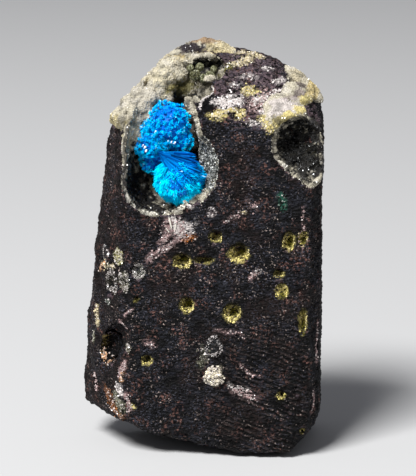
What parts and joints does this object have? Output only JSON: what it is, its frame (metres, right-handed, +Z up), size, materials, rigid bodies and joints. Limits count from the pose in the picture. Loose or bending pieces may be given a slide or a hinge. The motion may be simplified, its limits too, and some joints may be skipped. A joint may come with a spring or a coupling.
{
  "type": "cavansite on basalt",
  "caption": "Upright basalt hand specimen with a sawn front and a crust-lined hollow that holds a bright blue cavansite rosette; it stands on its flat foot.",
  "frame": {"origin": "centre of the bounding box at the height of the flat foot", "axes": "+Z up along the block, -Y out of the sawn front with the hollows, +X to the right seen from the front"},
  "size_m": [0.0448, 0.0277, 0.0751],
  "materials": {
    "basalt": "rough black basalt with reddish-brown grains",
    "cream_crust": "lumpy cream and pale yellow zeolite crust",
    "white_crust": "sparkling white and pale yellow zeolite crust",
    "cavansite_blue": "glassy bright blue crystals"
  },
  "bodies": {
    "root": {"basalt_matrix": "basalt", "vug_crust": "cream_crust", "side_vug_crust": "white_crust", "cavansite": "cavansite_blue"}
  },
  "joints": []
}
